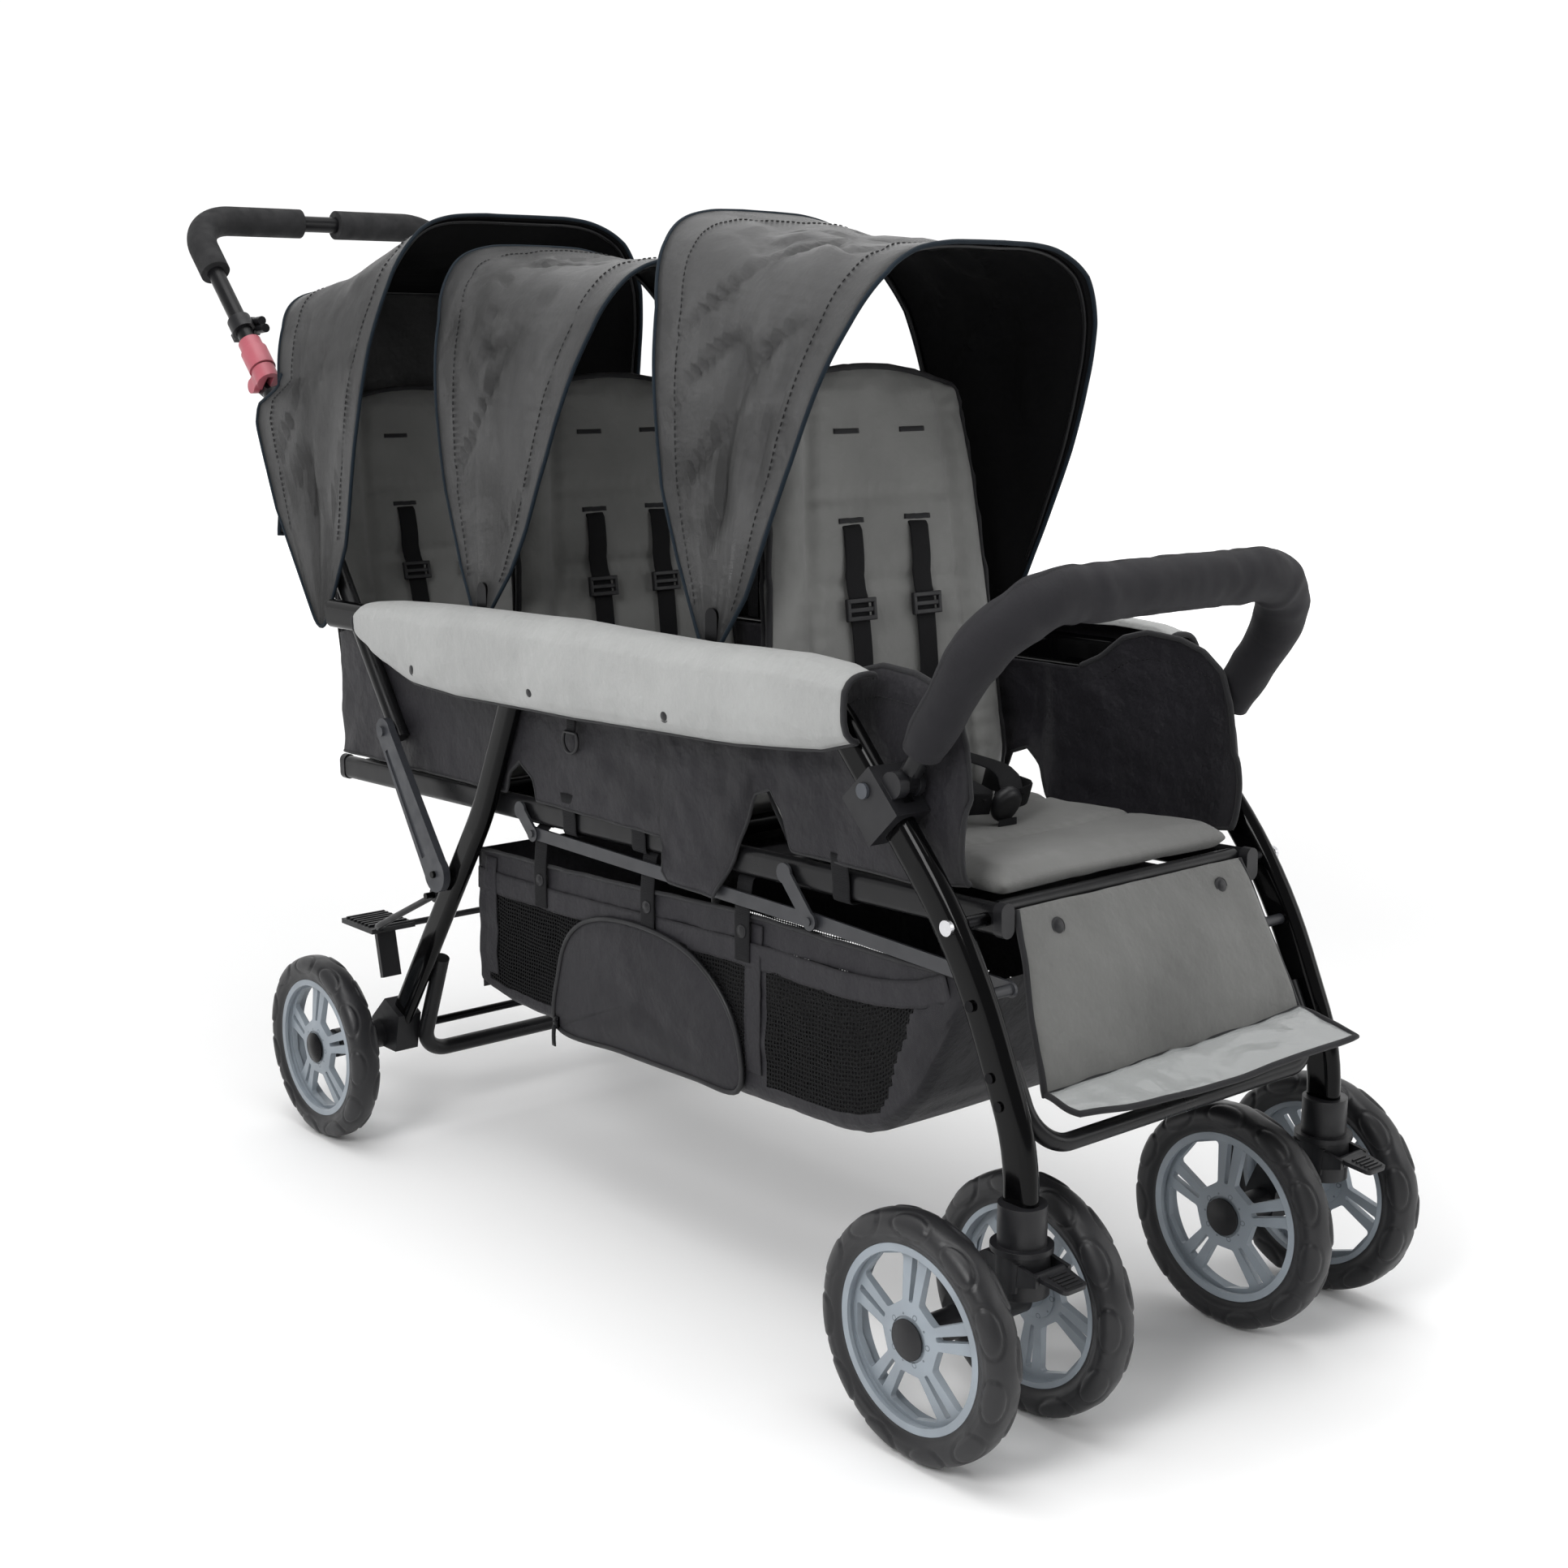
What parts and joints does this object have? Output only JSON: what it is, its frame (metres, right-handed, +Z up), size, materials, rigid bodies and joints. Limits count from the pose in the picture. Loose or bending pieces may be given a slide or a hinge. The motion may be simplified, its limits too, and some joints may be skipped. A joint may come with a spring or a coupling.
{
  "type": "triple stroller",
  "caption": "Tandem stroller with reclining seats in a row, sun canopies, twin swivel front casters, folding frame, basket and bumper bar.",
  "frame": {"origin": "centre of the bounding box on the ground plane", "axes": "+X to the stroller's left, +Y to the rear where the handle is, +Z up; the children face -Y"},
  "size_m": [0.5886, 1.595, 1.1155],
  "materials": {
    "tyre": "moulded EVA, satin",
    "rim": "blue-grey moulded plastic",
    "gloss_black_tube": "gloss black powder coat",
    "satin_black_tube": "satin black powder coat",
    "link_steel": "charcoal powder coat",
    "brace_plastic": "charcoal moulded plastic",
    "bare_steel": "zinc plated",
    "black_plastic": "black moulded plastic",
    "grey_plastic": "grey moulded plastic",
    "rose_plastic": "dusty rose moulded plastic",
    "foam": "closed-cell foam, matt",
    "black_cloth": "woven polyester",
    "light_grey_cloth": "woven polyester, satin sheen",
    "grey_cloth": "woven polyester",
    "canopy_cloth": "woven polyester, satin sheen",
    "webbing": "woven webbing",
    "clear_vinyl": "clear vinyl over grey cloth"
  },
  "bodies": {
    "frame": {"side_frame_right": "gloss_black_tube", "side_frame_left": "gloss_black_tube", "seat_rails": "satin_black_tube", "rail_end_caps": "black_plastic", "seat_cross_tubes": "satin_black_tube", "link_bars": "link_steel", "armrest_pads": "light_grey_cloth", "side_panels": "black_cloth", "basket": "black_cloth", "footrest_tube": "satin_black_tube", "calf_panel": "grey_cloth", "foot_flap": "clear_vinyl", "seat_cushion_front": "grey_cloth", "seat_cushion_middle": "grey_cloth", "seat_cushion_rear": "grey_cloth", "fasteners": "bare_steel", "bumper_sockets": "black_plastic", "caster_collars": "black_plastic"},
    "rear_frame": {"rear_legs": "gloss_black_tube", "rear_cross_tube": "satin_black_tube", "rear_axle": "bare_steel", "axle_brackets": "black_plastic"},
    "brake": {"brake_pedal": "black_plastic"},
    "rear_wheel_right": {"rear_tyre_right": "tyre", "rear_rim_right": "rim"},
    "rear_wheel_left": {"rear_tyre_left": "tyre", "rear_rim_left": "rim"},
    "stays": {"handle_stays": "satin_black_tube"},
    "handle": {"push_handle": "satin_black_tube", "foam_grips": "foam", "handle_joints": "rose_plastic", "handle_clips": "black_plastic"},
    "latch_right": {"fold_latch_right": "rose_plastic"},
    "latch_left": {"fold_latch_left": "rose_plastic"},
    "brace_pair": {"braces": "brace_plastic"},
    "bumper": {"bumper_bar": "satin_black_tube", "bumper_cover": "black_cloth"},
    "button_right": {"bumper_button_right": "grey_plastic"},
    "button_left": {"bumper_button_left": "grey_plastic"},
    "backrest_front": {"backrest_front": "grey_cloth", "harness_front": "webbing"},
    "canopy_front": {"canopy_front": "canopy_cloth"},
    "backrest_middle": {"backrest_middle": "grey_cloth", "harness_middle": "webbing"},
    "canopy_middle": {"canopy_middle": "canopy_cloth"},
    "backrest_rear": {"backrest_rear": "grey_cloth", "harness_rear": "webbing"},
    "canopy_rear": {"canopy_rear": "canopy_cloth"},
    "caster_right": {"caster_fork_right": "black_plastic"},
    "swivel_lock_right": {"swivel_lock_right": "black_plastic"},
    "front_wheel_right_outer": {"front_tyre_right_outer": "tyre", "front_rim_right_outer": "rim"},
    "front_wheel_right_inner": {"front_tyre_right_inner": "tyre", "front_rim_right_inner": "rim"},
    "caster_left": {"caster_fork_left": "black_plastic"},
    "swivel_lock_left": {"swivel_lock_left": "black_plastic"},
    "front_wheel_left_outer": {"front_tyre_left_outer": "tyre", "front_rim_left_outer": "rim"},
    "front_wheel_left_inner": {"front_tyre_left_inner": "tyre", "front_rim_left_inner": "rim"}
  },
  "joints": [
    {"name": "frame_fold", "type": "hinge", "parent": "frame", "child": "rear_frame", "pos_m": [0, 0.019, 0.618], "axis": [1, 0, 0], "range_deg": [0, 9.31]},
    {"name": "stay_fold", "type": "hinge", "parent": "frame", "child": "stays", "pos_m": [0, 0.383, 0.62], "axis": [1, 0, 0], "range_deg": [-30.05, 0]},
    {"name": "brace_fold", "type": "hinge", "parent": "rear_frame", "child": "brace_pair", "pos_m": [0, 0.186, 0.337], "axis": [1, 0, 0], "range_deg": [0, 22.38]},
    {"name": "handle_fold", "type": "hinge", "parent": "stays", "child": "handle", "pos_m": [0, 0.60085, 0.88551], "axis": [1, 0, 0], "range_deg": [-125, 0]},
    {"name": "fold_latch_right_slide", "type": "slide", "parent": "handle", "child": "latch_right", "axis": [0, 0.6947, 0.7193], "range_m": [0, 0.012], "stiffness_N_per_m": 300},
    {"name": "fold_latch_left_slide", "type": "slide", "parent": "handle", "child": "latch_left", "axis": [0, 0.6947, 0.7193], "range_m": [0, 0.012], "stiffness_N_per_m": 300},
    {"name": "bumper_swing", "type": "hinge", "parent": "frame", "child": "bumper", "pos_m": [0, -0.589, 0.559], "axis": [1, 0, 0], "range_deg": [0, 70]},
    {"name": "bumper_button_right_press", "type": "slide", "parent": "frame", "child": "button_right", "axis": [1, 0, 0], "range_m": [0, 0.003], "stiffness_N_per_m": 300},
    {"name": "bumper_button_left_press", "type": "slide", "parent": "frame", "child": "button_left", "axis": [-1, 0, 0], "range_m": [0, 0.003], "stiffness_N_per_m": 300},
    {"name": "recline_front", "type": "hinge", "parent": "frame", "child": "backrest_front", "pos_m": [0, -0.362, 0.43993], "axis": [1, 0, 0], "range_deg": [-20, 0]},
    {"name": "recline_middle", "type": "hinge", "parent": "frame", "child": "backrest_middle", "pos_m": [0, 0.065, 0.42992], "axis": [1, 0, 0], "range_deg": [-20, 0]},
    {"name": "recline_rear", "type": "hinge", "parent": "frame", "child": "backrest_rear", "pos_m": [0, 0.44, 0.42114], "axis": [1, 0, 0], "range_deg": [-20, 0]},
    {"name": "canopy_front_tilt", "type": "hinge", "parent": "frame", "child": "canopy_front", "pos_m": [0, -0.31, 0.676], "axis": [1, 0, 0], "range_deg": [-3, 25]},
    {"name": "canopy_middle_tilt", "type": "hinge", "parent": "frame", "child": "canopy_middle", "pos_m": [0, 0.089, 0.67], "axis": [1, 0, 0], "range_deg": [-3, 4]},
    {"name": "canopy_rear_tilt", "type": "hinge", "parent": "stays", "child": "canopy_rear", "pos_m": [0, 0.42681, 0.6821], "axis": [1, 0, 0], "range_deg": [0, 5]},
    {"name": "brake_press", "type": "hinge", "parent": "rear_frame", "child": "brake", "pos_m": [0, 0.242, 0.297], "axis": [1, 0, 0], "range_deg": [-8, 0]},
    {"name": "rear_wheel_right_spin", "type": "hinge", "parent": "rear_frame", "child": "rear_wheel_right", "pos_m": [-0.2745, 0.335, 0.11], "axis": [1, 0, 0], "continuous": true},
    {"name": "caster_right_swivel", "type": "hinge", "parent": "frame", "child": "caster_right", "pos_m": [-0.2075, -0.737, 0], "axis": [0, 0, 1], "continuous": true},
    {"name": "swivel_lock_right_press", "type": "hinge", "parent": "caster_right", "child": "swivel_lock_right", "pos_m": [-0.2075, -0.768, 0.172], "axis": [1, 0, 0], "range_deg": [0, 10]},
    {"name": "front_wheel_right_outer_spin", "type": "hinge", "parent": "caster_right", "child": "front_wheel_right_outer", "pos_m": [-0.276, -0.686, 0.11], "axis": [1, 0, 0], "continuous": true},
    {"name": "front_wheel_right_inner_spin", "type": "hinge", "parent": "caster_right", "child": "front_wheel_right_inner", "pos_m": [-0.139, -0.686, 0.11], "axis": [1, 0, 0], "continuous": true},
    {"name": "rear_wheel_left_spin", "type": "hinge", "parent": "rear_frame", "child": "rear_wheel_left", "pos_m": [0.2745, 0.335, 0.11], "axis": [1, 0, 0], "continuous": true},
    {"name": "caster_left_swivel", "type": "hinge", "parent": "frame", "child": "caster_left", "pos_m": [0.2075, -0.737, 0], "axis": [0, 0, 1], "continuous": true},
    {"name": "swivel_lock_left_press", "type": "hinge", "parent": "caster_left", "child": "swivel_lock_left", "pos_m": [0.2075, -0.768, 0.172], "axis": [1, 0, 0], "range_deg": [0, 10]},
    {"name": "front_wheel_left_outer_spin", "type": "hinge", "parent": "caster_left", "child": "front_wheel_left_outer", "pos_m": [0.276, -0.686, 0.11], "axis": [1, 0, 0], "continuous": true},
    {"name": "front_wheel_left_inner_spin", "type": "hinge", "parent": "caster_left", "child": "front_wheel_left_inner", "pos_m": [0.139, -0.686, 0.11], "axis": [1, 0, 0], "continuous": true}
  ],
  "couplings": [
    {"joint": "stay_fold", "follows": "frame_fold", "ratio": -3.2223},
    {"joint": "brace_fold", "follows": "frame_fold", "ratio": 2.398}
  ]
}
